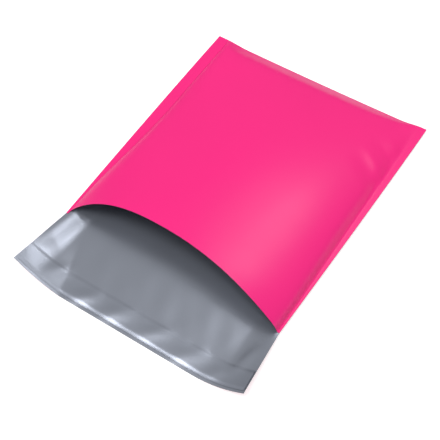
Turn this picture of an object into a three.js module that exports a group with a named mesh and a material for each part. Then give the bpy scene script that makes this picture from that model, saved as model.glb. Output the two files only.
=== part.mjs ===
// A poly mailer bag, lying on its flat back panel with its mouth standing open.
// Millimetres, +Z up. The closed fold is at +Y, the open mouth and the sealing lip are at -Y.
// The bag is one tube of film, slit at the mouth: a back panel that runs on as the lip, a front
// panel that domes over it, a fold at the closed end and a welded seam along each side.
// A hot-melt adhesive strip lies on the lip's inner face, under a strip of release liner.

import * as THREE from 'three';
import { mergeVertices } from 'three/addons/utils/BufferGeometryUtils.js';

// Plan of the bag as it lies
const foldWidth = 297; // across the closed fold
const mouthWidth = 279.2; // across the mouth, which the open front panel draws in
const lipWidth = 292.6; // across the lip's free edge
const bodyLength = 334.8; // from the closed fold to the corners of the mouth
const lipLength = 86.8; // from the corners of the mouth to the lip's free edge
const foldBow = 1.5; // how far the middle of the fold is drawn in
const mouthDraw = 26; // how far the middle of the front panel's edge is drawn back
const cornerDraw = 5.2; // how far the lip's curled corners are drawn back

// Film and seams
const filmWall = 0.3; // one layer, measured straight down
const leftFoldWeld = 14; // margin where the two layers lie fused, at the fold and at the mouth
const leftMouthWeld = 2;
const rightFoldWeld = 6;
const rightMouthWeld = 2;
const seamBand = 28; // width over which the back panel steps up from the table to the weld

// Heights
const foldRise = 7.5; // shoulder of the front panel just inside the fold
const mouthRise = 40; // crest of the front panel at the mouth
const leftFoldLift = 2.2; // seam heights, at the fold and at the mouth
const leftMouthLift = 7.8;
const rightFoldLift = 3;
const rightMouthLift = 4.3;
const leftCornerLift = 16.5; // curled corners of the lip
const rightCornerLift = 15;
const lipWave = 1; // soft waves across the lip
const lipWaveLength = 42;

// Form of the front panel
const foldSlope = 0.37; // how steeply it turns up from the fold
const foldBend = 8; // power of the bend at the shoulder, firmer with a larger number
const rampLength = 150; // length over which it then climbs to its full height
const settleLength = 40; // its flanks start from the weld's height after this length
const crestShift = 31.4; // how far the crest at the mouth lies left of the middle
const leftFootAtFold = 2; // width over which it leaves the weld line softly
const leftFootAtMouth = 0.6;
const rightFootAtFold = 8;
const rightFootAtMouth = 2;
const footPower = 1.6;

// Closure
const linerInset = 3.5; // from the lip's free edge
const linerWidth = 28;
const linerWall = 0.15;
const adhesiveWidth = 16;
const adhesiveWall = 0.3;
const closureEnd = 1.5; // both strips stop short of the lip's side edges
const layerGap = 0.3; // between one layer and the next

// Powers that shape the flanks: a larger reach gives a flatter top, a smaller round a steeper side
const leftFoldReach = 1.25; // a low arch, which fills out by the mouth
const leftMouthReach = 2.76;
const leftFilling = 6;
const leftWallReach = 14; // a wall at the weld, which carries the shoulder
const leftWallRound = 0.8;
const wallFading = 12;
const rightFoldReach = 3.2;
const rightBodyReach = 1.9;
const rightMouthReach = 3;
const rightRound = 0.97;
const rightWallShare = 0.2; // a low wall at the weld, from wallStart of the length on
const rightWallReach = 20;
const rightWallRound = 0.5;
const wallStart = 0.6;
const leftDrawRound = 0.47;
const rightDrawRound = 1.26;

// Powers that shape the plan and the curled edges
const narrowing = 1.3; // the sides draw in mostly towards the mouth
const leaning = 2; // the crest leans left, and the edge draws back, mostly near the mouth
const pulledFrom = 0.4; // the welded margins narrow from this share of the length on
const leftCornerCurl = 1.1;
const rightCornerCurl = 2.1;
const leftCurlBand = 64; // along the lip's free edge, from the corner to where it lies flat
const rightCurlBand = 61;

// Fineness of the faceted surface
const acrossSteps = 26;
const bodySteps = 20;
const openLipSteps = 5;
const edgeCrowding = 0.6;
const foldCrowding = 0.8;

// Places that follow from the sizes
const overallLength = bodyLength + lipLength;
const foldY = overallLength / 2;
const mouthY = foldY - bodyLength;
const adhesiveInset = linerInset + (linerWidth - adhesiveWidth) / 2;
const columns = acrossSteps + 2;

const { lerp, clamp } = THREE.MathUtils;

// Half of the bag's width, from the fold (along = 0) to the mouth (along = 1)
function halfWidth(along) {
  return lerp(foldWidth, mouthWidth, along ** narrowing) / 2;
}

// Level at both ends
function smoothStep(share) {
  return THREE.MathUtils.smoothstep(share, 0, 1);
}

// From the middle line to the weld line, on the point's own side
function openHalf(x, along) {
  const narrowed = smoothStep((along - pulledFrom) / (1 - pulledFrom));
  const weld = x < 0
    ? lerp(leftFoldWeld, leftMouthWeld, narrowed)
    : lerp(rightFoldWeld, rightMouthWeld, narrowed);
  return halfWidth(along) - weld;
}

// Place of a column: the two outer ones are the cut edge and the weld line, the rest lie between
function columnX(column, along) {
  const side = column < columns / 2 ? -1 : 1;
  if (column === 0 || column === columns) {
    return side * halfWidth(along);
  }
  const open = openHalf(side, along);
  if (column === 1 || column === columns - 1) {
    return side * open;
  }
  const share = (column - 1) / acrossSteps;
  const even = 2 * share - 1;
  const crowded = -Math.cos(Math.PI * share);
  return open * lerp(even, crowded, edgeCrowding);
}

// Rows of the body, closer together near the fold
function rowAlong(row) {
  const share = row / bodySteps;
  return lerp(share, share * share, foldCrowding);
}

// Height of the weld above the table
function seamLift(left, along) {
  return left
    ? lerp(leftFoldLift, leftMouthLift, along)
    : lerp(rightFoldLift, rightMouthLift, along);
}

// Height of the back panel's underside: flat on the table, with a soft step up to each weld
function backHeight(x, along) {
  return seamLift(x < 0, along) * smoothStep((Math.abs(x) - openHalf(x, along)) / seamBand + 1);
}

function crestX(along) {
  return -crestShift * along ** leaning;
}

// Share of the way from the crest (0) to the weld line on its own side (1)
function flankShare(x, along) {
  const open = openHalf(x, along);
  const crest = crestX(along);
  const inside = clamp(x, -open, open);
  return inside < crest ? (crest - inside) / (open + crest) : (inside - crest) / (open - crest);
}

// The front panel leaves the weld line softly: 0 on it, 1 well inside
function foot(x, along) {
  const length = x < 0
    ? lerp(leftFootAtFold, leftFootAtMouth, along)
    : lerp(rightFootAtFold, rightFootAtMouth, along);
  const distance = Math.max(openHalf(x, along) - Math.abs(x), 0);
  return 1 - Math.exp(-((distance / length) ** footPower));
}

// Soft minimum of the straight rise from the fold and the shoulder's height
function foldTurn(distance, shoulder) {
  const rise = foldSlope * distance;
  if (rise === 0 || shoulder === 0) {
    return 0;
  }
  return (rise * shoulder) / (rise ** foldBend + shoulder ** foldBend) ** (1 / foldBend);
}

function flankForm(share, reach, round) {
  return (1 - share ** reach) ** round;
}

function leftArch(share, along) {
  return 1 - share ** lerp(leftFoldReach, leftMouthReach, along ** leftFilling);
}

function leftShoulder(share, along) {
  const wall = flankForm(share, leftWallReach, leftWallRound);
  return lerp(wall, leftArch(share, along), along ** wallFading);
}

function rightFlank(share, along) {
  const bodyReach = lerp(rightFoldReach, rightBodyReach, along);
  const reach = lerp(bodyReach, rightMouthReach, along ** wallFading);
  const wall = flankForm(share, rightWallReach, rightWallRound);
  const wallShare = rightWallShare * smoothStep(along / wallStart);
  return lerp(flankForm(share, reach, rightRound), wall, wallShare);
}

// Height of the front panel: a shoulder that turns up from the fold, and the climb to the mouth
function frontHeight(x, along) {
  const distance = along * bodyLength;
  const left = x < crestX(along);
  const share = flankShare(x, along);
  const rest = foot(x, along);
  const shoulder = (left ? leftShoulder(share, along) : rightFlank(share, along)) * rest;
  const flank = (left ? leftArch(share, along) : rightFlank(share, along)) * rest;
  const climbed = (1 - Math.exp(-distance / rampLength)) / (1 - Math.exp(-bodyLength / rampLength));
  const climb = (mouthRise - foldRise) * climbed * flank;
  const settled = smoothStep(distance / settleLength);
  const base = lerp(backHeight(x, along), seamLift(left, along) * (1 - flank), settled);
  return base + foldTurn(distance, foldRise * shoulder) + climb;
}

// Station along Y of the back panel, and how far the front panel is drawn back from it
function backY(x, along) {
  const across = x / halfWidth(along);
  return foldY - bodyLength * along - foldBow * (1 - across ** 2) * (1 - along);
}

function drawBack(x, along) {
  const round = x < crestX(along) ? leftDrawRound : rightDrawRound;
  return mouthDraw * along ** leaning * (1 - flankShare(x, along) ** 2) ** round;
}

// Points of the bag's body. A level is the number of film layers above the underside.
function backPoint(row, column, level) {
  const along = rowAlong(row);
  const x = columnX(column, along);
  return new THREE.Vector3(x, backY(x, along), backHeight(x, along) + level * filmWall);
}

function frontPoint(row, column, level) {
  const along = rowAlong(row);
  const x = columnX(column, along);
  const y = backY(x, along) + drawBack(x, along);
  return new THREE.Vector3(x, y, frontHeight(x, along) + level * filmWall);
}

// Heights of the faces, in layers: the back panel is one layer and the front panel a second one
const underside = 0;
const betweenLayers = 1;
const topside = 2;

// At the fold the outer faces stop one layer short of its nose, and the inside ends two layers short
function foldSetBack(row, layers) {
  return new THREE.Vector3(0, row === 0 ? -layers * filmWall : 0, 0);
}

const frontOutside = (row, column) => frontPoint(row, column, topside).add(foldSetBack(row, 1));
const frontInside = (row, column) => frontPoint(row, column, betweenLayers).add(foldSetBack(row, 2));
const backInside = (row, column) => backPoint(row, column, betweenLayers).add(foldSetBack(row, 2));
const backOutside = (row, column) => backPoint(row, column, underside).add(foldSetBack(row, 1));
const seamMiddle = (row, column) => backPoint(row, column, betweenLayers);

// Rows of the lip, as distances from its free edge. The closure's edges have rows of their own.
const closureStations = [
  0,
  linerInset,
  adhesiveInset,
  adhesiveInset + adhesiveWidth,
  linerInset + linerWidth,
];

function lipStations() {
  const start = linerInset + linerWidth;
  const stations = [...closureStations];
  for (let step = 1; step <= openLipSteps; step += 1) {
    stations.push(lerp(start, lipLength, step / openLipSteps));
  }
  return stations.reverse();
}

// A point on the lip's underside, for a share across (-1 to 1) and a distance from the free edge
function lipSurface(across, fromEdge) {
  const out = 1 - fromEdge / lipLength;
  const left = across < 0;
  const half = lerp(mouthWidth, lipWidth, out) / 2;
  const cornerLift = left ? leftCornerLift : rightCornerLift;
  const cornerCurl = left ? leftCornerCurl : rightCornerCurl;
  const cornerBand = left ? leftCurlBand : rightCurlBand;
  const band = lerp(seamBand, cornerBand, out) / half;
  const curled = clamp((Math.abs(across) - 1) / band + 1, 0, 1);
  const lift = lerp(backHeight((across * mouthWidth) / 2, 1), cornerLift * curled ** cornerCurl, out);
  const x = across * half;
  const ripple = (1 - Math.cos((2 * Math.PI * x) / lipWaveLength)) / 2;
  const wave = lipWave * ripple * Math.sin(Math.PI * out) * (1 - curled);
  const y = mouthY - (lipLength - cornerDraw * curled ** 2) * out;
  return new THREE.Vector3(x, y, lift + wave);
}

function lipPoint(fromEdge, column, height) {
  const across = columnX(column, 1) / halfWidth(1);
  const point = lipSurface(across, fromEdge);
  return point.add(new THREE.Vector3(0, 0, height));
}

// A grid of points becomes two triangles a cell. The diagonals mirror about the middle column,
// and a flipped patch faces the other way.
function patchTriangles(rows, firstColumn, lastColumn, pointAt, flipped) {
  const triangles = [];
  const middle = (firstColumn + lastColumn) / 2;
  for (let row = 0; row < rows; row += 1) {
    for (let column = firstColumn; column < lastColumn; column += 1) {
      const a = pointAt(row, column);
      const b = pointAt(row, column + 1);
      const c = pointAt(row + 1, column + 1);
      const d = pointAt(row + 1, column);
      const halves = column < middle ? [[a, d, c], [a, c, b]] : [[a, d, b], [b, d, c]];
      for (const half of halves) {
        triangles.push(...(flipped ? half.reverse() : half));
      }
    }
  }
  return triangles;
}

function closedGeometry(patches) {
  const corners = patches.flat();
  const geometry = new THREE.BufferGeometry().setFromPoints(corners);
  return mergeVertices(geometry);
}

// The film: outside and inside faces, the mouth's rim, the fold's nose and the cut edges
function filmGeometry() {
  const stations = lipStations();
  const lipSteps = stations.length - 1;
  const lipTop = (row, column) => lipPoint(stations[row], column, filmWall);
  const lipUnder = (row, column) => lipPoint(stations[row], column, 0);
  const isWeldEdge = (column) => column === 0 || column === columns;
  const rimLevels = [
    (column) => frontOutside(bodySteps, column),
    (column) => (isWeldEdge(column) ? lipTop(0, column) : frontInside(bodySteps, column)),
  ];
  const noseLevels = [backOutside, seamMiddle, frontOutside];
  const sideLevels = [frontOutside, seamMiddle, backOutside];
  const lipLevels = [lipTop, lipUnder];
  const seam = (edge) => (row, level) => sideLevels[level](row, edge);
  const lipSide = (edge) => (row, level) => lipLevels[level](row, edge);
  return closedGeometry([
    patchTriangles(bodySteps, 0, columns, frontOutside, false),
    patchTriangles(bodySteps, 0, columns, backOutside, true),
    patchTriangles(bodySteps, 1, columns - 1, frontInside, true),
    patchTriangles(bodySteps, 1, columns - 1, backInside, false),
    patchTriangles(lipSteps, 0, columns, lipTop, false),
    patchTriangles(lipSteps, 0, columns, lipUnder, true),
    patchTriangles(1, 0, columns, (level, column) => rimLevels[level](column), false),
    patchTriangles(2, 0, columns, (level, column) => noseLevels[level](0, column), false),
    patchTriangles(1, 0, columns, (level, column) => lipLevels[level](lipSteps, column), false),
    patchTriangles(bodySteps, 0, 2, seam(0), true),
    patchTriangles(bodySteps, 0, 2, seam(columns), false),
    patchTriangles(lipSteps, 0, 1, lipSide(0), true),
    patchTriangles(lipSteps, 0, 1, lipSide(columns), false),
  ]);
}

// A strip on the lip: a row for each station, each with its own height above the lip's underside
function stripGeometry(stations, heights, wall) {
  const steps = stations.length - 1;
  const end = 1 - (2 * closureEnd) / lipWidth;
  const level = (raise) => (row, column) => {
    const across = clamp(columnX(column, 1) / halfWidth(1), -end, end);
    return lipSurface(across, stations[row]).add(new THREE.Vector3(0, 0, heights[row] + raise));
  };
  const upper = level(wall);
  const lower = level(0);
  const faces = [upper, lower];
  const front = (edge) => (row, column) => faces[row](edge, column);
  const side = (edge) => (row, face) => faces[face](row, edge);
  return closedGeometry([
    patchTriangles(steps, 0, columns, upper, false),
    patchTriangles(steps, 0, columns, lower, true),
    patchTriangles(1, 0, columns, front(0), true),
    patchTriangles(1, 0, columns, front(steps), false),
    patchTriangles(steps, 0, 1, side(0), true),
    patchTriangles(steps, 0, 1, side(columns), false),
  ]);
}

function adhesiveGeometry() {
  const stations = [adhesiveInset + adhesiveWidth, adhesiveInset];
  const seat = filmWall + layerGap;
  return stripGeometry(stations, [seat, seat], adhesiveWall);
}

// The liner lies on the lip at its two long edges and passes over the adhesive between them
function linerGeometry() {
  const seat = filmWall + layerGap;
  const over = seat + adhesiveWall + layerGap;
  const stations = [
    linerInset + linerWidth,
    adhesiveInset + adhesiveWidth,
    adhesiveInset,
    linerInset,
  ];
  return stripGeometry(stations, [seat, over, over, seat], linerWall);
}

function namedMesh(name, geometry, finish) {
  const mesh = new THREE.Mesh(geometry, new THREE.MeshStandardMaterial(finish));
  mesh.name = name;
  return mesh;
}

const mailer = new THREE.Group();
mailer.add(
  namedMesh('film_bag', filmGeometry(), { color: 0xff3889, roughness: 0.4, metalness: 0 }),
  namedMesh('adhesive_strip', adhesiveGeometry(), { color: 0xe6e4dc, roughness: 0.5, metalness: 0 }),
  namedMesh('release_liner', linerGeometry(), { color: 0xcfd0d8, roughness: 0.3, metalness: 0 }),
);

export default mailer;
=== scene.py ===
# %% [markdown]
# # A poly mailer bag
# A mailer is one web of plastic film, pink outside and silver inside. It is folded once at the
# closed end, welded along both sides, and its back runs on past the mouth as a sealing lip.
# The bag lies on its back with the mouth standing open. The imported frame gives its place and
# size, and every surface below is worked out as a formula on a grid.

import math

import bpy
import numpy as np
from mathutils import Matrix, Vector


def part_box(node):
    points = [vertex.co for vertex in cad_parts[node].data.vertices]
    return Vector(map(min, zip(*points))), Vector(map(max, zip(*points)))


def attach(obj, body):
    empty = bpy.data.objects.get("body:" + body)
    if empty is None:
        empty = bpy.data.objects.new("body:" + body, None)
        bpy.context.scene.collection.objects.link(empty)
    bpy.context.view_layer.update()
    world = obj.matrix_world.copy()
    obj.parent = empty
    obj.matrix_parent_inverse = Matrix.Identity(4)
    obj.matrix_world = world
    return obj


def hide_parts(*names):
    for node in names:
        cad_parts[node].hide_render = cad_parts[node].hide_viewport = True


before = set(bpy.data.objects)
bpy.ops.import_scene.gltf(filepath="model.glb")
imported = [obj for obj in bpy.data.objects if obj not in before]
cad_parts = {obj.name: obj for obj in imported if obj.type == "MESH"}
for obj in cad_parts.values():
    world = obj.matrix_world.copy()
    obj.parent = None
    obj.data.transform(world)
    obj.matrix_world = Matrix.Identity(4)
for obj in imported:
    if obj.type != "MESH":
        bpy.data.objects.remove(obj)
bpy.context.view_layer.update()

# %% [markdown]
# ## Sizes
# The bag's outline comes from the frame: the fold's width and the whole length are the box of
# the film. The rest was measured from the picture, in metres, as the bag lies. "Along" runs
# from 0 at the fold to 1 at the mouth. A power of it says how late a change sets in.

# %% Outline in plan
MM = 0.001
film_low, film_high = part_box("film_bag")
FOLD_HALF = (film_high.x - film_low.x) / 2
FOLD_Y = film_high.y
EDGE_Y = film_low.y
MOUTH_HALF = 139.6 * MM
LIP_HALF = 146.3 * MM
BODY_LENGTH = 334.8 * MM
LIP_LENGTH = FOLD_Y - EDGE_Y - BODY_LENGTH
MOUTH_Y = FOLD_Y - BODY_LENGTH
FILM_WALL = 0.3 * MM
print("fold half width", round(FOLD_HALF, 4), "lip length", round(LIP_LENGTH, 4))

# %% [markdown]
# ## The form of the bag
# A filled bag is a flat back with a dome over it. The dome could be blown up by a cloth
# simulation, but a formula gives the same arch each time and its numbers can be read: how high
# the crest stands, how steep each flank is, and how far the mouth's edge is drawn back.
# Each function takes whole grids of points at once.

# %% Plain helpers


def mix(a, b, share):
    """a + (b - a) * share."""
    return a + (b - a) * share


def sided(x, middle, pair):
    """The pair's first value left of the middle, its second value right of it."""
    return np.where(x < middle, pair[0], pair[1])


def smooth_step(t):
    """3 t^2 - 2 t^3, level at both ends."""
    t = np.clip(t, 0, 1)
    return t * t * (3 - 2 * t)


print("a quarter of the way, the smooth step stands at", smooth_step(0.25))

# %% Width, crest and weld lines
# A pair of values gives the left side first, then the right
WIDTH_POWER = 1.3
CREST_SHIFT = 31.4 * MM
WELD_AT_FOLD = (14 * MM, 6 * MM)
WELD_AT_MOUTH = (2 * MM, 2 * MM)
WELD_NARROWS_FROM = 0.4


def half_width(along):
    """Half the bag's width: from the fold to the mouth, drawn in as along^WIDTH_POWER."""
    return mix(FOLD_HALF, MOUTH_HALF, along**WIDTH_POWER)


def crest_x(along):
    """The dome's crest leaves the middle line for the left as along^2."""
    return -CREST_SHIFT * along**2


def open_half(x, along):
    """From the middle line to the weld line: half the width less the margin.

    The margin narrows from WELD_NARROWS_FROM on, where the mouth is pulled open.
    """
    narrowed = smooth_step((along - WELD_NARROWS_FROM) / (1 - WELD_NARROWS_FROM))
    return half_width(along) - mix(sided(x, 0, WELD_AT_FOLD), sided(x, 0, WELD_AT_MOUTH), narrowed)


def flank_share(x, along):
    """0 on the crest, 1 on the weld line, measured on the point's own side of the crest."""
    crest = crest_x(along)
    half = open_half(x, along)
    inside = np.clip(x, -half, half)
    to_left = (crest - inside) / (half + crest)
    to_right = (inside - crest) / (half - crest)
    return np.where(inside < crest, to_left, to_right)


print("half way along, the left weld line is", round(float(open_half(-1, 0.5)), 4), "out")

# %% The back panel and the lift of the welds
SEAM_LIFT_AT_FOLD = (2.2 * MM, 3.0 * MM)
SEAM_LIFT_AT_MOUTH = (7.8 * MM, 4.3 * MM)
SEAM_BAND = 28 * MM
FOOT_AT_FOLD = (2 * MM, 8 * MM)
FOOT_AT_MOUTH = (0.6 * MM, 2 * MM)
FOOT_POWER = 1.6


def seam_lift(x, middle, along):
    """Height of the weld line above the table, on the point's own side of the middle."""
    return mix(sided(x, middle, SEAM_LIFT_AT_FOLD), sided(x, middle, SEAM_LIFT_AT_MOUTH), along)


def back_height(x, along):
    """Height of the back panel: zero, but it steps up softly to the weld and is level outside."""
    step = smooth_step((np.abs(x) - open_half(x, along)) / SEAM_BAND + 1)
    return seam_lift(x, 0, along) * step


def foot(x, along):
    """1 - exp(-(d / foot length)^FOOT_POWER), d from the weld line: a soft start of the flank."""
    length = mix(sided(x, 0, FOOT_AT_FOLD), sided(x, 0, FOOT_AT_MOUTH), along)
    distance = np.clip(open_half(x, along) - np.abs(x), 0, None)
    return 1 - np.exp(-((distance / length) ** FOOT_POWER))


print("weld lift on the left at the mouth", float(seam_lift(-1, 0, 1)))

# %% Flanks and shoulder of the dome
# A reach says how far out a flank stays level, a round how softly it meets the weld. The two
# pairs run from the fold to the mouth.
FOLD_SLOPE = 0.37
FOLD_FIRMNESS = 8
NEVER_ZERO = 1e-36
LEFT_REACH = (1.25, 2.76)
LEFT_REACH_POWER = 6
RIGHT_REACH = (3.2, 1.9)
RIGHT_MOUTH_REACH = 3.0
RIGHT_ROUND = 0.97
RIGHT_WALL_SHARE = 0.2
RIGHT_WALL_FULL_AT = 0.6
RIGHT_WALL_REACH = 20
RIGHT_WALL_ROUND = 0.5
MOUTH_POWER = 12


def fold_turn(distance, shoulder):
    """Rises from the fold at FOLD_SLOPE and levels off at the shoulder, with a firm bend.

    r s / (r^n + s^n)^(1/n), the soft minimum of the straight rise r and the shoulder height s,
    with n = FOLD_FIRMNESS.
    """
    rise = FOLD_SLOPE * distance
    total = rise**FOLD_FIRMNESS + shoulder**FOLD_FIRMNESS + NEVER_ZERO
    return rise * shoulder / total ** (1 / FOLD_FIRMNESS)


def wall_share(f, reach, blunt):
    """(1 - f^reach)^blunt: level nearly all the way and steep by the weld line."""
    return (1 - f**reach) ** blunt


def left_arch(f, along):
    """1 - f^reach: a low arch, which fills out by the mouth as along^LEFT_REACH_POWER."""
    return 1 - f ** mix(*LEFT_REACH, along**LEFT_REACH_POWER)


def right_share(f, along):
    """A round flank (1 - f^reach)^blunt, with a share of low wall that grows from the fold on."""
    reach = mix(mix(*RIGHT_REACH, along), RIGHT_MOUTH_REACH, along**MOUTH_POWER)
    flank = wall_share(f, reach, RIGHT_ROUND)
    wall = wall_share(f, RIGHT_WALL_REACH, RIGHT_WALL_ROUND)
    return mix(flank, wall, RIGHT_WALL_SHARE * smooth_step(along / RIGHT_WALL_FULL_AT))


print("half way out and along, the left arch keeps", round(float(left_arch(0.5, 0.5)), 3))

# %% The front panel
FOLD_RISE = 7.5 * MM
MOUTH_RISE = 40 * MM
RAMP_LENGTH = 150 * MM
SETTLE_LENGTH = 40 * MM
LEFT_WALL_REACH = 14
LEFT_WALL_ROUND = 0.8


def front_height(x, along):
    """The front panel: a shoulder that turns up from the fold, and a climb over RAMP_LENGTH.

    Left of the crest the shoulder ends in a wall by the weld. By the mouth, as
    along^MOUTH_POWER, it takes the arch's form. Right of the crest shoulder and climb share one
    form. The flanks start from the back panel at the fold, and from the weld's height after
    SETTLE_LENGTH.
    """
    distance = along * BODY_LENGTH
    f = flank_share(x, along)
    left = x < crest_x(along)
    arch = left_arch(f, along)
    edge = mix(wall_share(f, LEFT_WALL_REACH, LEFT_WALL_ROUND), arch, along**MOUTH_POWER)
    rest = foot(x, along)
    right = right_share(f, along)
    full = 1 - math.exp(-BODY_LENGTH / RAMP_LENGTH)
    climb = (MOUTH_RISE - FOLD_RISE) * (1 - np.exp(-distance / RAMP_LENGTH)) / full
    shoulder = fold_turn(distance, FOLD_RISE * np.where(left, edge, right) * rest)
    share = np.where(left, arch, right) * rest
    seam_share = seam_lift(x, crest_x(along), along) * (1 - share)
    settled = smooth_step(distance / SETTLE_LENGTH)
    return mix(back_height(x, along), seam_share, settled) + shoulder + climb * share


print("front panel", round(float(front_height(0.0, 0.5)), 4), "high half way along")

# %% Stations along the bag
FOLD_BOW = 1.5 * MM
MOUTH_DRAW = 26 * MM
DRAW_ROUND = (0.47, 1.26)


def back_y(x, along):
    """Station along Y: evenly from fold to mouth, with the fold's middle drawn in by a parabola."""
    across = x / half_width(along)
    return FOLD_Y - BODY_LENGTH * along - FOLD_BOW * (1 - across**2) * (1 - along)


def draw_back(x, along):
    """How far the front panel is drawn back: MOUTH_DRAW * along^2 * (1 - f^2)^round."""
    blunt = sided(x, crest_x(along), DRAW_ROUND)
    return MOUTH_DRAW * along**2 * (1 - flank_share(x, along) ** 2) ** blunt


print("mouth's edge drawn back to y", round(float(back_y(0.0, 1.0) + draw_back(crest_x(1), 1.0)), 4))

# %% [markdown]
# ## Creases
# Film keeps small sharp puckers where it is pulled, mostly near the welded corners. A crease is
# a soft ridge along a short line in plan, highest at its middle and gone at both ends.
# A negative height makes it a valley. Each has its own place, so they are listed one by one.

# %% Creases
CREASE_TAPER = 1.3


def crease(x, y, start, end, height, width):
    """height * exp(-(d / width)^2) * sin(pi t)^CREASE_TAPER, d from the line, t along it."""
    run = np.subtract(end, start)
    length = float(np.hypot(*run))
    along_x, along_y = run / length
    offset_x = x - start[0]
    offset_y = y - start[1]
    t = np.clip((offset_x * along_x + offset_y * along_y) / length, 0, 1)
    d = np.hypot(offset_x - t * run[0], offset_y - t * run[1])
    return height * np.exp(-((d / width) ** 2)) * np.sin(np.pi * t) ** CREASE_TAPER


# Start, end, height and width, in metres
PANEL_CREASES = [
    ((0.090, 0.128), (0.160, 0.082), -0.0010, 0.0100),
    ((0.092, 0.144), (0.164, 0.096), 0.0005, 0.0060),
    ((0.102, 0.160), (0.156, 0.128), -0.0007, 0.0070),
    ((0.116, 0.169), (0.150, 0.150), 0.0003, 0.0045),
    ((-0.132, 0.070), (-0.118, 0.005), 0.0006, 0.0060),
    ((-0.128, 0.128), (-0.110, 0.088), -0.0005, 0.0060),
    ((-0.034, 0.208), (-0.012, 0.168), -0.0005, 0.0060),
    ((0.030, 0.208), (0.048, 0.174), 0.0006, 0.0060),
]
LIP_CREASES = [
    ((-0.142, -0.190), (-0.124, -0.160), -0.0008, 0.0120),
    ((-0.116, -0.202), (-0.086, -0.170), 0.0016, 0.0090),
    ((-0.078, -0.213), (-0.040, -0.184), 0.0020, 0.0085),
    ((-0.038, -0.213), (0.002, -0.180), 0.0019, 0.0095),
    ((0.008, -0.211), (0.052, -0.174), 0.0015, 0.0085),
    ((0.054, -0.213), (0.092, -0.180), 0.0017, 0.0090),
    ((0.094, -0.212), (0.122, -0.184), 0.0013, 0.0080),
    ((0.121, -0.198), (0.130, -0.144), 0.0016, 0.0070),
]


def creased(x, y, creases):
    """Sum of the creases at each point."""
    return sum(crease(x, y, *each) for each in creases)


print(len(PANEL_CREASES), "creases on the front panel and", len(LIP_CREASES), "on the lip")

# %% [markdown]
# ## The lip
# The back panel runs on past the mouth. Nothing holds it down, so its corners curl up and soft
# waves cross it. The waves are two cosines of unlike length, raised so that they never reach
# below the table, and they die out at the mouth and in the curled corners. The creases lie on
# top of them and fade at the mouth and at the free edge.

# %% The lip's surface
CORNER_LIFT = (16.5 * MM, 15 * MM)
CORNER_CURL = (1.1, 2.1)
CORNER_BAND = (64 * MM, 61 * MM)
CORNER_DRAW = 5.2 * MM
WAVE_HEIGHT = 0.5 * MM
WAVE_LENGTHS = (42 * MM, 27 * MM)
WAVE_SHARES = (0.65, 0.35)
WAVE_SLANT = 0.4


def lip_surface(across, from_edge):
    """Points of the lip's underside, for across -1 to 1 and a distance from the free edge.

    out is 0 at the mouth and 1 at the free edge, and the width and the lift run with it.
    """
    out = 1 - from_edge / LIP_LENGTH
    half = mix(MOUTH_HALF, LIP_HALF, out)
    x = across * half
    mouth_lift = sided(across, 0, SEAM_LIFT_AT_MOUTH)
    corner_lift = sided(across, 0, CORNER_LIFT)
    weld = open_half(across, 1) / MOUTH_HALF
    stepped = smooth_step((np.abs(across) - weld) * MOUTH_HALF / SEAM_BAND + 1)
    band = mix(SEAM_BAND, sided(across, 0, CORNER_BAND), out) / half
    curled = np.clip((np.abs(across) - 1) / band + 1, 0, 1)
    curl = sided(across, 0, CORNER_CURL)
    lift = mix(mouth_lift * stepped, corner_lift * curled**curl, out)
    long_wave = 1 - np.cos(2 * np.pi * x / WAVE_LENGTHS[0])
    short_wave = 1 - np.cos(2 * np.pi * (x + WAVE_SLANT * from_edge) / WAVE_LENGTHS[1])
    ripple = (WAVE_SHARES[0] * long_wave + WAVE_SHARES[1] * short_wave) / 2
    wave = WAVE_HEIGHT * ripple * np.sin(np.pi * out) * (1 - curled)
    y = MOUTH_Y - (LIP_LENGTH - CORNER_DRAW * curled**2) * out
    fade = np.sqrt(np.sin(np.pi * np.clip(out, 0, 1)))
    height = np.maximum(lift + wave + creased(x, y, LIP_CREASES) * fade, 0)
    return np.stack([x, y, height], axis=-1)


print("lip, middle of the free edge", [round(float(v), 4) for v in lip_surface(np.array(0.0), 0.0)])

# %% [markdown]
# ## From grids to a closed skin
# The film has two faces everywhere. Each face is a patch: a grid of points. Neighbouring patches
# share their border points, so merging equal points closes them into one skin with a real wall.
# A Solidify modifier would be shorter, but it can't fuse the two layers along the weld.

# %% Patches and meshes
MERGE_TOLERANCE = 0.001 * MM
SHARP_DEGREES = 35


def patch_faces(rows, columns, flipped):
    """Quads of a grid of rows x columns points, numbered row by row."""
    index = np.arange(rows * columns).reshape(rows, columns)
    corners = [index[:-1, :-1], index[1:, :-1], index[1:, 1:], index[:-1, 1:]]
    faces = np.stack([corner.ravel() for corner in corners], axis=-1)
    return faces[:, ::-1] if flipped else faces


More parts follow.
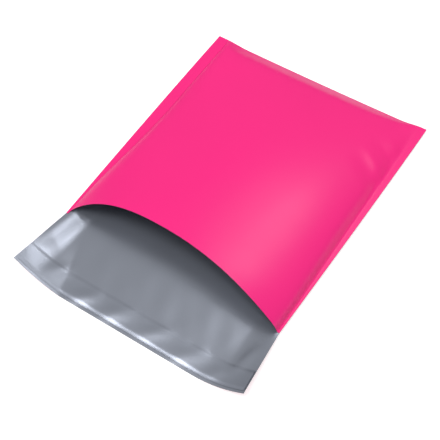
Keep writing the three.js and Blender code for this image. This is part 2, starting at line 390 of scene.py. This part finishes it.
def skin_mesh(name, patches):
    """One closed mesh out of patches (points, plan, material number, flipped).

    plan holds two numbers a point, how far across and along the film it lies, for the UV map.
    Points that round to the same MERGE_TOLERANCE are one point, and faces that keep fewer than
    four corners become triangles.
    """
    points, faces, plans, numbers, first = [], [], [], [], 0
    for grid, plan, number, flipped in patches:
        rows, columns = grid.shape[:2]
        cells = patch_faces(rows, columns, flipped) + first
        points.append(grid.reshape(-1, 3))
        plans.append(plan.reshape(-1, 2))
        faces.append(cells)
        numbers.append(np.full(len(cells), number))
        first += rows * columns
    points = np.concatenate(points)
    faces = np.concatenate(faces)
    plans = np.concatenate(plans)
    numbers = np.concatenate(numbers)
    _, kept, merged = np.unique(
        np.round(points / MERGE_TOLERANCE), axis=0, return_index=True, return_inverse=True
    )
    quads = merged.reshape(-1)[faces]
    mesh = bpy.data.meshes.new(name)
    mesh.vertices.add(len(kept))
    mesh.vertices.foreach_set("co", points[kept].ravel())
    mesh.loops.add(quads.size)
    mesh.loops.foreach_set("vertex_index", quads.ravel())
    mesh.polygons.add(len(quads))
    mesh.polygons.foreach_set("loop_start", np.arange(len(quads)) * 4)
    mesh.polygons.foreach_set("material_index", numbers)
    uv = mesh.uv_layers.new(name="film")
    uv.data.foreach_set("uv", plans[faces].ravel())
    mesh.update(calc_edges=True)
    mesh.validate()
    return mesh


def add_piece(name, mesh):
    """A smooth-shaded object of the mesh at the origin, with its sharp edges kept sharp."""
    mesh.polygons.foreach_set("use_smooth", np.ones(len(mesh.polygons), dtype=bool))
    mesh.set_sharp_from_angle(angle=math.radians(SHARP_DEGREES))
    piece = bpy.data.objects.new(name, mesh)
    bpy.context.scene.collection.objects.link(piece)
    return piece


print("a patch of 3 x 4 points has", len(patch_faces(3, 4, False)), "faces")

# %% [markdown]
# ## The film bag
# The grid is finer near the welds and near the fold, where the film turns quickly. Two layers
# lie on each other along the welds, and between the welds they part and leave the inside open.

# %% The film's grid
ACROSS_STEPS = 150
WELD_STEPS = 3
BODY_STEPS = 128
LIP_STEPS = 56
CROWDING_AT_WELDS = 0.6
CROWDING_AT_FOLD = 0.8

weld_columns = np.linspace(0, 1, WELD_STEPS + 1)[:-1]
open_columns = np.linspace(0, 1, ACROSS_STEPS + 1)
even = 2 * open_columns - 1
crowded = -np.cos(np.pi * open_columns)
open_shares = mix(even, crowded, CROWDING_AT_WELDS)
row_shares = np.linspace(0, 1, BODY_STEPS + 1)
row_alongs = mix(row_shares, row_shares**2, CROWDING_AT_FOLD)


def column_places(along):
    """X of every column at each row: the left weld, the open part, and the right weld."""
    half = half_width(along)[:, None]
    open_left = open_half(-1, along[:, None])
    open_right = open_half(1, along[:, None])
    left = -mix(half, open_left, weld_columns)
    middle = np.where(open_shares < 0, open_left, open_right) * open_shares
    right = mix(half, open_right, weld_columns)
    return np.concatenate([left, middle, right[:, ::-1]], axis=1)


x = column_places(row_alongs)
along = np.broadcast_to(row_alongs[:, None], x.shape)
first_open = WELD_STEPS
last_open = WELD_STEPS + ACROSS_STEPS
inside_columns = slice(first_open, last_open + 1)
print("film grid", x.shape, "points a face")

# %% The body's faces
FULL_CREASE_RISE = 3 * MM
plan_y = back_y(x, along)
seat = back_height(x, along)
drawn_y = plan_y + draw_back(x, along)
front = front_height(x, along)
parted = np.clip((front - seat) / FULL_CREASE_RISE, 0, 1)
front = front + creased(x, drawn_y, PANEL_CREASES) * parted


def face(height, y, layers, set_back):
    """Points at a height of so many layers of film, set back from the fold's nose in row 0."""
    placed = y.copy()
    placed[0] -= set_back * FILM_WALL
    return np.stack([x, placed, height + layers * FILM_WALL], axis=-1)


front_out = face(front, drawn_y, 2, 1)
front_in = face(front, drawn_y, 1, 2)[:, inside_columns]
back_in = face(seat, plan_y, 1, 2)[:, inside_columns]
back_out = face(seat, plan_y, 0, 1)
seam_line = face(seat, plan_y, 1, 0)
print("front panel up to", round(float(front_out[..., 2].max()), 4), "high")

# %% The lip's faces
across = x[-1] / half_width(np.array(1.0))
from_edge = np.linspace(LIP_LENGTH, 0, LIP_STEPS + 1)
lip_under = lip_surface(across[None, :], from_edge[:, None])
lip_top = lip_under + np.array([0, 0, FILM_WALL])
lip_top[0, inside_columns] = back_in[-1]
print("lip up to", round(float(lip_top[..., 2].max()), 4), "high")

# %% Close the skin


def film_plan(grid):
    """Across and along the film, in metres, straight from the plan of the grid."""
    return grid[..., :2]


def band(*rows):
    """A narrow patch out of rows of points that have the same length."""
    return np.stack(rows)


rim_inner = front_out[-1].copy()
rim_inner[inside_columns] = front_in[-1]
rim_inner[:first_open] = lip_top[0, :first_open]
rim_inner[last_open + 1 :] = lip_top[0, last_open + 1 :]
# The EDGE faces take the cut-edge material, whose dark colour is painted shade along the film's
# edges
PINK, SILVER, EDGE = 0, 1, 2
patches = [
    (front_out, PINK, False),
    (back_out, PINK, True),
    (lip_under, PINK, True),
    (front_in, SILVER, True),
    (back_in, SILVER, False),
    (lip_top, SILVER, False),
    (band(front_out[-1], rim_inner), EDGE, False),
    (band(back_out[0], seam_line[0], front_out[0]), PINK, False),
    (band(lip_top[-1], lip_under[-1]), EDGE, False),
    (band(front_out[:, 0], seam_line[:, 0], back_out[:, 0]), EDGE, False),
    (band(front_out[:, -1], seam_line[:, -1], back_out[:, -1]), EDGE, True),
    (band(lip_top[:, 0], lip_under[:, 0]), EDGE, False),
    (band(lip_top[:, -1], lip_under[:, -1]), EDGE, True),
]
film_mesh = skin_mesh(
    "film_bag_skin", [(grid, film_plan(grid), number, flip) for grid, number, flip in patches]
)
film = add_piece("mailer_film", film_mesh)
print("film", len(film_mesh.vertices), "points", len(film_mesh.polygons), "faces")

# %% [markdown]
# ## The closure
# A hot-melt strip runs along the lip's inner face, under a release liner that is peeled off to
# seal the bag. Both are thin strips carried along the lip's own surface, so they follow its
# curl and waves. The liner rests on the lip at its edges and steps over the adhesive.

# %% Closure sizes
LINER_INSET = 3.5 * MM
LINER_WIDTH = 28 * MM
LINER_WALL = 0.15 * MM
ADHESIVE_WIDTH = 16 * MM
ADHESIVE_WALL = 0.3 * MM
CLOSURE_END = 1.5 * MM
LAYER_GAP = 0.3 * MM
ADHESIVE_INSET = LINER_INSET + (LINER_WIDTH - ADHESIVE_WIDTH) / 2
LIP_SEAT = FILM_WALL + LAYER_GAP
OVER_ADHESIVE = LIP_SEAT + ADHESIVE_WALL + LAYER_GAP
print("adhesive", ADHESIVE_WIDTH, "wide under a liner", LINER_WIDTH, "wide")

# %% Strips on the lip


def strip_mesh(name, stations, heights, wall):
    """A closed strip: one row a station, at its own height above the lip's underside."""
    end = 1 - CLOSURE_END / LIP_HALF
    places = np.clip(across, -end, end)[None, :]
    stations = np.asarray(stations)[:, None]
    lower = lip_surface(places, stations)
    lower[..., 2] += np.asarray(heights)[:, None]
    upper = lower + np.array([0, 0, wall])
    sides = [
        (upper, False),
        (lower, True),
        (band(upper[0], lower[0]), True),
        (band(upper[-1], lower[-1]), False),
        (band(upper[:, 0], lower[:, 0]), False),
        (band(upper[:, -1], lower[:, -1]), True),
    ]
    return skin_mesh(name, [(grid, film_plan(grid), 0, flip) for grid, flip in sides])


STRIP_ROWS = 12
adhesive_rows = np.linspace(ADHESIVE_INSET + ADHESIVE_WIDTH, ADHESIVE_INSET, STRIP_ROWS)
adhesive_seat = np.full(STRIP_ROWS, LIP_SEAT)
adhesive = add_piece(
    "hot_melt_strip", strip_mesh("hot_melt_strip", adhesive_rows, adhesive_seat, ADHESIVE_WALL)
)

LINER_ROWS = 29
LINER_STEP_SHARE = 0.8
liner_rows = np.linspace(LINER_INSET + LINER_WIDTH, LINER_INSET, LINER_ROWS)
margin = (LINER_WIDTH - ADHESIVE_WIDTH) / 2
to_near_edge = np.minimum(liner_rows - LINER_INSET, LINER_INSET + LINER_WIDTH - liner_rows)
stepped_up = smooth_step(to_near_edge / (margin * LINER_STEP_SHARE))
liner_seat = mix(LIP_SEAT, OVER_ADHESIVE, stepped_up)
liner = add_piece("peel_off_liner", strip_mesh("peel_off_liner", liner_rows, liner_seat, LINER_WALL))
print("strips", len(adhesive.data.polygons), len(liner.data.polygons), "faces")

# %% [markdown]
# ## Film finish
# Blown film is smooth but never perfect: it has a faint grain of fine lines along the web, soft
# patches where the gloss changes, and fine specks. The same effect serves every material of the
# bag, so it is one node group that gives a height and a mask.

# %% Node helpers


def node(tree, kind, label, **settings):
    """Adds a node of the kind with a label, and sets the properties given by name."""
    made = tree.nodes.new(kind)
    made.label = label
    for name, value in settings.items():
        setattr(made, name, value)
    return made


def new_material(name):
    """An empty node material with its output and a Principled shader, joined."""
    material = bpy.data.materials.new(name)
    material.use_nodes = True
    tree = material.node_tree
    tree.nodes.clear()
    output = node(tree, "ShaderNodeOutputMaterial", "output")
    shader = node(tree, "ShaderNodeBsdfPrincipled", "film")
    tree.links.new(shader.outputs["BSDF"], output.inputs["Surface"])
    return material, tree, shader


def srgb(red, green, blue):
    """Display values 0 to 255 as the linear colour that a shader takes."""
    display = np.array([red, green, blue]) / 255
    low = display / 12.92
    high = ((display + 0.055) / 1.055) ** 2.4
    linear = np.where(display <= 0.04045, low, high)
    return (*map(float, linear), 1.0)


print("display grey 128 is linear", round(srgb(128, 128, 128)[0], 3))

# %% The film grain group
# Noise scales are in features a metre
WEB_STRETCH = (1, 0.06, 1)
WEB_LINE_SCALE = 700
SPECK_SCALE = 2600
SPECK_SHARE = 0.35


def film_grain_group():
    """Web lines, cloudy gloss and fine specks, out of the film's own plan coordinates."""
    tree = bpy.data.node_groups.new("film_grain", "ShaderNodeTree")
    for side, kind, labels in (
        ("INPUT", "NodeSocketVector", ("Plan",)),
        ("INPUT", "NodeSocketFloat", ("Line Strength", "Cloud Size")),
        ("OUTPUT", "NodeSocketFloat", ("Height", "Cloud")),
    ):
        for label in labels:
            tree.interface.new_socket(label, in_out=side, socket_type=kind)
    given = node(tree, "NodeGroupInput", "in")
    result = node(tree, "NodeGroupOutput", "out")
    stretch = node(tree, "ShaderNodeMapping", "stretch along the web")
    stretch.inputs["Scale"].default_value = WEB_STRETCH
    lines = node(tree, "ShaderNodeTexNoise", "web lines")
    lines.inputs["Scale"].default_value = WEB_LINE_SCALE
    lines.inputs["Detail"].default_value = 3
    cloud = node(tree, "ShaderNodeTexNoise", "cloudy gloss")
    cloud.inputs["Detail"].default_value = 2
    specks = node(tree, "ShaderNodeTexNoise", "fine grain")
    specks.inputs["Scale"].default_value = SPECK_SCALE
    specks.inputs["Detail"].default_value = 1
    weigh = node(tree, "ShaderNodeMath", "weigh the lines", operation="MULTIPLY")
    total = node(tree, "ShaderNodeMath", "lines and grain", operation="MULTIPLY_ADD")
    total.inputs[1].default_value = SPECK_SHARE
    link = tree.links.new
    link(given.outputs["Plan"], stretch.inputs["Vector"])
    link(stretch.outputs["Vector"], lines.inputs["Vector"])
    link(given.outputs["Plan"], cloud.inputs["Vector"])
    link(given.outputs["Plan"], specks.inputs["Vector"])
    link(given.outputs["Cloud Size"], cloud.inputs["Scale"])
    link(lines.outputs["Fac"], weigh.inputs[0])
    link(given.outputs["Line Strength"], weigh.inputs[1])
    link(specks.outputs["Fac"], total.inputs[0])
    link(weigh.outputs["Value"], total.inputs[2])
    link(total.outputs["Value"], result.inputs["Height"])
    link(cloud.outputs["Fac"], result.inputs["Cloud"])
    return tree


FILM_GRAIN = film_grain_group()
print("group", FILM_GRAIN.name, "with", len(FILM_GRAIN.nodes), "nodes")

# %% [markdown]
# ## The film's materials
# The pink face is pigment in clear plastic: a strong colour with a weak, wide shine. The silver
# face holds fine aluminium pigment, so part of its shine is metallic. The cut edges are matt and
# show the pink and silver layers edge-on; their colour is painted darker still, as painted shade
# for the thin shadow line along the film's edges. Each material sets its own numbers on its own
# shader, and takes only the changes over the surface from the group.

# %% How a film material is built
ROUGHNESS_SPREAD = 0.08
CLOUD_TINT = 0.94


def film_material(name, colour, metallic, roughness, lines, clouds, bump_metres, specular=0.5):
    """A film: base colour clouded a little, roughness clouded, and a bump of web lines.

    The clouds take the roughness from half of ROUGHNESS_SPREAD under its value to half over it,
    and the colour down to CLOUD_TINT of itself.
    """
    material, tree, shader = new_material(name)
    plan = node(tree, "ShaderNodeUVMap", "plan of the film", uv_map="film")
    grain = node(tree, "ShaderNodeGroup", "grain", node_tree=FILM_GRAIN)
    grain.inputs["Line Strength"].default_value = lines
    grain.inputs["Cloud Size"].default_value = clouds
    rough = node(tree, "ShaderNodeMath", "gloss clouds", operation="MULTIPLY_ADD")
    rough.inputs[1].default_value = ROUGHNESS_SPREAD
    rough.inputs[2].default_value = roughness - ROUGHNESS_SPREAD / 2
    tint = node(tree, "ShaderNodeMixRGB", "colour clouds")
    tint.inputs["Color1"].default_value = colour
    tint.inputs["Color2"].default_value = (*(CLOUD_TINT * part for part in colour[:3]), 1)
    bump = node(tree, "ShaderNodeBump", "film surface")
    bump.inputs["Strength"].default_value = 1
    bump.inputs["Distance"].default_value = bump_metres
    link = tree.links.new
    link(plan.outputs["UV"], grain.inputs["Plan"])
    link(grain.outputs["Cloud"], rough.inputs[0])
    link(grain.outputs["Cloud"], tint.inputs["Fac"])
    link(grain.outputs["Height"], bump.inputs["Height"])
    link(tint.outputs["Color"], shader.inputs["Base Color"])
    link(rough.outputs["Value"], shader.inputs["Roughness"])
    link(bump.outputs["Normal"], shader.inputs["Normal"])
    shader.inputs["Metallic"].default_value = metallic
    shader.inputs["Specular IOR Level"].default_value = specular
    return material


# %% Film materials
WEB_BUMP = 0.01 * MM
pink_film = film_material(
    "pink_film",
    srgb(255, 36, 134),
    metallic=0,
    roughness=0.3,
    lines=0.5,
    clouds=9,
    bump_metres=WEB_BUMP,
    specular=0.35,
)
silver_film = film_material(
    "silver_film",
    srgb(158, 163, 175),
    metallic=0.75,
    roughness=0.3,
    lines=0.6,
    clouds=12,
    bump_metres=WEB_BUMP,
)
# Painted shade: the cut edges are coloured far darker than the film's two faces mixed, for the thin
# shadow line along the film's edges
cut_edge_painted_shade = film_material(
    "cut_edge_painted_shade",
    srgb(112, 62, 82),
    metallic=0,
    roughness=0.5,
    lines=0.2,
    clouds=20,
    bump_metres=WEB_BUMP,
)
for material in (pink_film, silver_film, cut_edge_painted_shade):
    film.data.materials.append(material)
print("film materials", [material.name for material in film.data.materials])

# %% [markdown]
# ## Adhesive and liner
# Hot melt is a milky strip, hidden under its liner. The liner is a silvered film, hardly to be
# told from the lip that it lies on. A clear liner with Alpha would let the silver show through,
# but light has to cross four thin faces there and the strip turns grainy.

# %% Closure materials
hot_melt = film_material(
    "hot_melt",
    srgb(206, 206, 208),
    metallic=0,
    roughness=0.3,
    lines=0.3,
    clouds=40,
    bump_metres=2 * WEB_BUMP,
)
silver_liner = film_material(
    "silver_liner",
    srgb(155, 160, 172),
    metallic=0.75,
    roughness=0.34,
    lines=0.4,
    clouds=30,
    bump_metres=WEB_BUMP,
)
adhesive.data.materials.append(hot_melt)
liner.data.materials.append(silver_liner)
print("closure materials", hot_melt.name, silver_liner.name)

# %% [markdown]
# ## Stand-ins and bodies
# Each piece rides on the bag's one body and stands for its node in the frame. Nothing on a
# mailer moves on a joint, so there is no other body to ride on.

# %% Ride and replace
for piece, node_name, slot_name in (
    (film, "film_bag", "film_outside"),
    (adhesive, "adhesive_strip", "adhesive"),
    (liner, "release_liner", "liner"),
):
    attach(piece, "root")
    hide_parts(node_name)
    print(piece.name, "stands for", node_name)

# %% [markdown]
# ## Camera
# The camera looks down on the bag from beyond its right corner, at the angle of the picture.
# It could be aimed by a Track To constraint, but three plain directions are easier to check:
# right and up across the picture, and back towards the camera.

# %% Camera
CAMERA_AZIMUTH = math.radians(32.67)
CAMERA_ELEVATION = math.radians(55.28)
CAMERA_PLACE = Vector((0.3354, -0.5435, 0.8736))
# Lens and sensor in millimetres, as on a real camera, and the limit of its sight in metres
CAMERA_LENS = 76.8
CAMERA_SENSOR = 36
CAMERA_SEES_TO = 50

camera_back = Vector(
    (
        math.sin(CAMERA_AZIMUTH) * math.cos(CAMERA_ELEVATION),
        -math.cos(CAMERA_AZIMUTH) * math.cos(CAMERA_ELEVATION),
        math.sin(CAMERA_ELEVATION),
    )
)
camera_right = Vector((math.cos(CAMERA_AZIMUTH), math.sin(CAMERA_AZIMUTH), 0))
camera_up = camera_back.cross(camera_right)
camera_turn = Matrix((camera_right, camera_up, camera_back)).transposed().to_4x4()
camera = bpy.data.objects.new("camera", bpy.data.cameras.new("camera"))
camera.data.lens = CAMERA_LENS
camera.data.sensor_width = CAMERA_SENSOR
camera.data.clip_end = CAMERA_SEES_TO
camera.matrix_world = Matrix.Translation(CAMERA_PLACE) @ camera_turn
bpy.context.scene.collection.objects.link(camera)
bpy.context.scene.camera = camera
print("camera back", [round(v, 3) for v in camera_back])

# %% [markdown]
# ## Light and background
# A product picture of glossy film is lit by soft boxes. A big one overhead, a little to the
# front, lights the whole bag evenly. Three small ones stand behind, where the film mirrors them:
# one gives the wide highlight on the right shoulder, one the lip's left corner and one the light
# spots on the lip's creases. The world fills in from all round.

# %% Soft boxes


def soft_box(name, direction, distance, width, height, watts):
    """A rectangular area light out along a direction from the bag, facing the bag."""
    light = bpy.data.lights.new(name, "AREA")
    light.shape = "RECTANGLE"
    light.size = width
    light.size_y = height
    light.energy = watts
    lamp = bpy.data.objects.new(name, light)
    place = Vector(direction).normalized() * distance
    lamp.location = place
    lamp.rotation_euler = place.to_track_quat("Z", "Y").to_euler()
    bpy.context.scene.collection.objects.link(lamp)
    print(name, watts, "watts at", [round(v, 2) for v in place])


# Name, direction, distance, width, height and watts
soft_box("front_box", (-0.15, -0.33, 0.93), 2.8, 1.3, 1.3, 40.5)
soft_box("shoulder_box", (0.13, 0.50, 0.855), 2.0, 0.38, 0.34, 2.5)
soft_box("corner_box", (0.016, 0.568, 0.93), 1.1, 0.4, 0.4, 0.8)
soft_box("lip_box", (0.05, 0.2, 0.975), 1.95, 0.36, 0.36, 0.9)

# %% [markdown]
# ## White background
# The floor and the wall round it are matt and pale, and glow only to the eye. To the camera they
# are white. Where the film mirrors them, the glow runs from weak on the left to strong on the
# far right, which shades the film from side to side. It sends no light to the bag's diffuse
# colour, and the floor still takes the bag's shadow. A bright world alone would give white too,
# but it would wash out the film.

# %% Which rays see white


def white_share(tree):
    """1 for camera, glossy and transmission rays, 0 for the rays that carry diffuse light."""
    path = node(tree, "ShaderNodeLightPath", "which ray")
    camera_or_gloss = node(tree, "ShaderNodeMath", "camera or gloss", operation="MAXIMUM")
    any_seen = node(tree, "ShaderNodeMath", "or through glass", operation="MAXIMUM")
    tree.links.new(path.outputs["Is Camera Ray"], camera_or_gloss.inputs[0])
    tree.links.new(path.outputs["Is Glossy Ray"], camera_or_gloss.inputs[1])
    tree.links.new(camera_or_gloss.outputs["Value"], any_seen.inputs[0])
    tree.links.new(path.outputs["Is Transmission Ray"], any_seen.inputs[1])
    return any_seen.outputs["Value"]


# %% Floor and wall material
STUDIO_RADIUS = 4.0
SIDE_GLOW_FROM = -STUDIO_RADIUS / 4


def studio_material(name, albedo, glow, glow_by_side):
    """A matt pale surface that glows by the strength glow, only to the eye.

    In reflections the glow runs from its first value in glow_by_side, at SIDE_GLOW_FROM and
    left of it, to its second at the far right.
    """
    material, tree, shader = new_material(name)
    shader.inputs["Base Color"].default_value = (albedo, albedo, albedo, 1)
    shader.inputs["Roughness"].default_value = 1
    shader.inputs["Specular IOR Level"].default_value = 0
    shader.inputs["Emission Color"].default_value = (1, 1, 1, 1)
    strength = node(tree, "ShaderNodeMath", "glow", operation="MULTIPLY")
    strength.inputs[1].default_value = glow
    place = node(tree, "ShaderNodeTexCoord", "place")
    axes = node(tree, "ShaderNodeSeparateXYZ", "left to right")
    side = node(tree, "ShaderNodeMapRange", "reflected glow")
    side.inputs["From Min"].default_value = SIDE_GLOW_FROM
    side.inputs["From Max"].default_value = STUDIO_RADIUS
    side.inputs["To Min"].default_value = glow_by_side[0]
    side.inputs["To Max"].default_value = glow_by_side[1]
    path = node(tree, "ShaderNodeLightPath", "which ray")
    choose = node(tree, "ShaderNodeMix", "in reflections by side")
    link = tree.links.new
    link(white_share(tree), strength.inputs[0])
    link(place.outputs["Object"], axes.inputs["Vector"])
    link(axes.outputs["X"], side.inputs["Value"])
    link(path.outputs["Is Glossy Ray"], choose.inputs["Factor"])
    link(strength.outputs["Value"], choose.inputs["A"])
    link(side.outputs["Result"], choose.inputs["B"])
    link(choose.outputs["Result"], shader.inputs["Emission Strength"])
    return material


# %% Floor and wall
WALL_HEIGHT = 1.6
RIM_POINTS = 96
angles = np.linspace(0, 2 * np.pi, RIM_POINTS + 1)[:-1]
ring = np.stack([np.cos(angles), np.sin(angles)], axis=-1) * STUDIO_RADIUS
floor_points = np.column_stack([ring, np.zeros(len(ring))])
wall_points = np.column_stack([ring, np.full(len(ring), WALL_HEIGHT)])
around = np.arange(len(ring))
following = np.roll(around, -1)
wall_faces = np.stack([following, around, around + len(ring), following + len(ring)], axis=-1)

floor_mesh = bpy.data.meshes.new("studio_floor")
floor_mesh.from_pydata(floor_points.tolist(), [], [around.tolist()])
floor = bpy.data.objects.new("studio_floor", floor_mesh)
wall_mesh = bpy.data.meshes.new("studio_wall")
wall_mesh.from_pydata(np.vstack([floor_points, wall_points]).tolist(), [], wall_faces.tolist())
wall = bpy.data.objects.new("studio_wall", wall_mesh)
floor_mesh.materials.append(
    studio_material("white_floor", albedo=0.6, glow=0.7, glow_by_side=(0.2, 0.4))
)
wall_mesh.materials.append(
    studio_material("white_wall", albedo=0.4, glow=1.0, glow_by_side=(0.1, 1.4))
)
for part in (floor, wall):
    bpy.context.scene.collection.objects.link(part)
print("floor and wall of radius", STUDIO_RADIUS)

# %% World
WORLD_LIGHT = 0.48
world = bpy.data.worlds.new("studio")
world.use_nodes = True
background = world.node_tree.nodes["Background"]
background.inputs["Color"].default_value = (1, 1, 1, 1)
world_path = node(world.node_tree, "ShaderNodeLightPath", "which ray")
world_strength = node(world.node_tree, "ShaderNodeMix", "white to the camera")
world_strength.inputs["A"].default_value = WORLD_LIGHT
world_strength.inputs["B"].default_value = 1
world.node_tree.links.new(world_path.outputs["Is Camera Ray"], world_strength.inputs["Factor"])
world.node_tree.links.new(world_strength.outputs["Result"], background.inputs["Strength"])
bpy.context.scene.world = world
bpy.context.scene.view_settings.view_transform = "Standard"
print("world light", WORLD_LIGHT)
